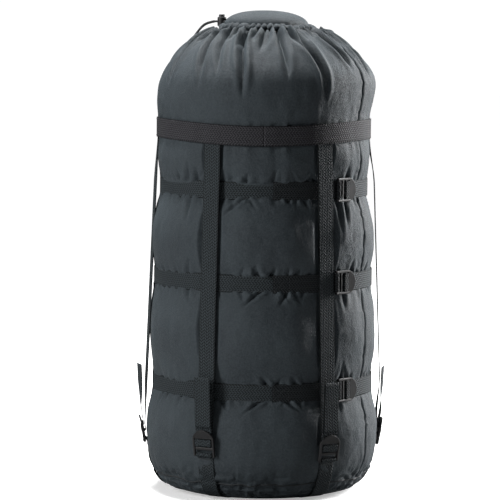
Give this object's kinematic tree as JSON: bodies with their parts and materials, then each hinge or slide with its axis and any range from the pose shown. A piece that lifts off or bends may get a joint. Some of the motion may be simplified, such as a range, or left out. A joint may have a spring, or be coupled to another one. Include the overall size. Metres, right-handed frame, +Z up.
{
  "type": "compression sack",
  "caption": "Upright compression sack for a sleeping bag: gathered top with drawcord, vertical straps and horizontal cinch straps in plastic ladder locks.",
  "frame": {"origin": "on the floor, at the middle of the flat disc that the base rests on", "axes": "+Z up along the sack, -Y out of the front, +X to the right as seen from the front"},
  "size_m": [0.3519, 0.3276, 0.68],
  "materials": {
    "shell_cloth": "matte coated nylon, dark slate grey",
    "webbing": "ribbed nylon webbing, charcoal",
    "band": "woven band, brownish charcoal",
    "binding": "folded seam binding",
    "cord": "round braided cord",
    "buckle_plastic": "moulded acetal, black",
    "cord_lock_plastic": "moulded acetal, black",
    "spring": "spring wire"
  },
  "bodies": {
    "sack": {"bottom_panel": "shell_cloth", "bottom_seam_binding": "binding", "wall_1": "shell_cloth", "wall_2": "shell_cloth", "wall_2_fold": "shell_cloth", "cinch_web_low": "webbing", "cinch_anchor_low": "webbing", "cinch_end_low": "webbing", "strap_front_left": "webbing", "strap_front_right": "webbing", "strap_left": "webbing", "strap_right": "webbing", "strap_back_left": "webbing", "strap_back_right": "webbing", "anchor_webs": "webbing"},
    "middle_girth": {"wall_3": "shell_cloth", "wall_3_fold": "shell_cloth", "cinch_web_middle": "webbing", "cinch_anchor_middle": "webbing", "cinch_end_middle": "webbing"},
    "upper_girth": {"wall_4": "shell_cloth", "wall_4_fold": "shell_cloth", "cinch_web_high": "webbing", "cinch_anchor_high": "webbing", "cinch_end_high": "webbing"},
    "top": {"collar": "shell_cloth", "top_band": "band", "mouth_hem": "shell_cloth", "drawcord": "cord"},
    "throat_flap": {"throat_flap": "shell_cloth"},
    "cord_lock": {"cord_lock_barrel": "cord_lock_plastic", "cord_lock_spring": "spring"},
    "cord_lock_button": {"cord_lock_button": "cord_lock_plastic"},
    "lock_front_left": {"ladder_lock_front_left": "buckle_plastic", "strap_wrap_front_left": "webbing"},
    "end_front_left": {"strap_end_front_left": "webbing"},
    "lock_front_right": {"ladder_lock_front_right": "buckle_plastic", "strap_wrap_front_right": "webbing"},
    "end_front_right": {"strap_end_front_right": "webbing"},
    "lock_left": {"ladder_lock_left": "buckle_plastic", "strap_wrap_left": "webbing"},
    "end_left": {"strap_end_left": "webbing"},
    "lock_right": {"ladder_lock_right": "buckle_plastic", "strap_wrap_right": "webbing"},
    "end_right": {"strap_end_right": "webbing"},
    "lock_back_left": {"ladder_lock_back_left": "buckle_plastic", "strap_wrap_back_left": "webbing"},
    "end_back_left": {"strap_end_back_left": "webbing"},
    "lock_back_right": {"ladder_lock_back_right": "buckle_plastic", "strap_wrap_back_right": "webbing"},
    "end_back_right": {"strap_end_back_right": "webbing"},
    "cinch_lock_low": {"cinch_lock_low": "buckle_plastic", "cinch_wrap_low": "webbing"},
    "cinch_lock_middle": {"cinch_lock_middle": "buckle_plastic", "cinch_wrap_middle": "webbing"},
    "cinch_lock_high": {"cinch_lock_high": "buckle_plastic", "cinch_wrap_high": "webbing"}
  },
  "joints": [
    {"name": "compression", "type": "slide", "parent": "sack", "child": "middle_girth", "axis": [0, 0, -1], "range_m": [0, 0.064], "stiffness_N_per_m": 500, "deforming": ["wall_2_fold", "strap_front_left", "strap_front_right", "strap_left", "strap_right", "strap_back_left", "strap_back_right"]},
    {"name": "compression_of_tier_3", "type": "slide", "parent": "middle_girth", "child": "upper_girth", "axis": [0, 0, -1], "range_m": [0, 0.052], "deforming": ["wall_3_fold"]},
    {"name": "compression_of_tier_4", "type": "slide", "parent": "upper_girth", "child": "top", "axis": [0, 0, -1], "range_m": [0, 0.026], "deforming": ["wall_4_fold"]},
    {"name": "flap_lift", "type": "hinge", "parent": "top", "child": "throat_flap", "pos_m": [0, 0.049, 0.653], "axis": [-1, 0, 0], "range_deg": [0, 55]},
    {"name": "cord_lock_slide", "type": "slide", "parent": "top", "child": "cord_lock", "axis": [-0.766, 0.6428, 0], "range_m": [0, 0.008]},
    {"name": "cord_lock_press", "type": "slide", "parent": "cord_lock", "child": "cord_lock_button", "axis": [0, 0, -1], "range_m": [0, 0.0025], "stiffness_N_per_m": 900, "springref_m": -0.002, "deforming": ["cord_lock_spring"]},
    {"name": "lock_front_left_tilt", "type": "hinge", "parent": "sack", "child": "lock_front_left", "pos_m": [-0.07815, -0.14699, 0.067], "axis": [0.8829, -0.4695, 0], "range_deg": [0, 30]},
    {"name": "end_front_left_swing", "type": "hinge", "parent": "lock_front_left", "child": "end_front_left", "pos_m": [-0.08059, -0.15156, 0.10416], "axis": [0.8829, -0.4695, 0], "range_deg": [0, 60]},
    {"name": "lock_front_right_tilt", "type": "hinge", "parent": "sack", "child": "lock_front_right", "pos_m": [0.09236, -0.13693, 0.06], "axis": [0.829, 0.5592, 0], "range_deg": [0, 30]},
    {"name": "end_front_right_swing", "type": "hinge", "parent": "lock_front_right", "child": "end_front_right", "pos_m": [0.09526, -0.14123, 0.09716], "axis": [0.829, 0.5592, 0], "range_deg": [0, 60]},
    {"name": "lock_left_tilt", "type": "hinge", "parent": "sack", "child": "lock_left", "pos_m": [-0.1664, -0.00872, 0.068], "axis": [0.0523, -0.9986, 0], "range_deg": [0, 30]},
    {"name": "end_left_swing", "type": "hinge", "parent": "lock_left", "child": "end_left", "pos_m": [-0.17158, -0.00899, 0.10516], "axis": [0.0523, -0.9986, 0], "range_deg": [0, 60]},
    {"name": "lock_right_tilt", "type": "hinge", "parent": "sack", "child": "lock_right", "pos_m": [0.16591, 0.00869, 0.065], "axis": [-0.0523, 0.9986, 0], "range_deg": [0, 30]},
    {"name": "end_right_swing", "type": "hinge", "parent": "lock_right", "child": "end_right", "pos_m": [0.17108, 0.00897, 0.10216], "axis": [-0.0523, 0.9986, 0], "range_deg": [0, 60]},
    {"name": "lock_back_left_tilt", "type": "hinge", "parent": "sack", "child": "lock_back_left", "pos_m": [-0.09039, 0.13918, 0.064], "axis": [-0.8387, -0.5446, 0], "range_deg": [0, 30]},
    {"name": "end_back_left_swing", "type": "hinge", "parent": "lock_back_left", "child": "end_back_left", "pos_m": [-0.09321, 0.14353, 0.10116], "axis": [-0.8387, -0.5446, 0], "range_deg": [0, 60]},
    {"name": "lock_back_right_tilt", "type": "hinge", "parent": "sack", "child": "lock_back_right", "pos_m": [0.07517, 0.14753, 0.062], "axis": [-0.891, 0.454, 0], "range_deg": [0, 30]},
    {"name": "end_back_right_swing", "type": "hinge", "parent": "lock_back_right", "child": "end_back_right", "pos_m": [0.07752, 0.15215, 0.09916], "axis": [-0.891, 0.454, 0], "range_deg": [0, 60]},
    {"name": "cinch_lock_low_tilt", "type": "hinge", "parent": "sack", "child": "cinch_lock_low", "pos_m": [0.10716, -0.11951, 0.1545], "axis": [0, 0, -1], "range_deg": [0, 30]},
    {"name": "cinch_lock_middle_tilt", "type": "hinge", "parent": "middle_girth", "child": "cinch_lock_middle", "pos_m": [0.10283, -0.12118, 0.305], "axis": [0, 0, -1], "range_deg": [0, 30]},
    {"name": "cinch_lock_high_tilt", "type": "hinge", "parent": "upper_girth", "child": "cinch_lock_high", "pos_m": [0.10409, -0.10978, 0.433], "axis": [0, 0, -1], "range_deg": [0, 30]}
  ],
  "couplings": [
    {"joint": "compression_of_tier_3", "follows": "compression", "ratio": 0.8125},
    {"joint": "compression_of_tier_4", "follows": "compression", "ratio": 0.40625}
  ]
}
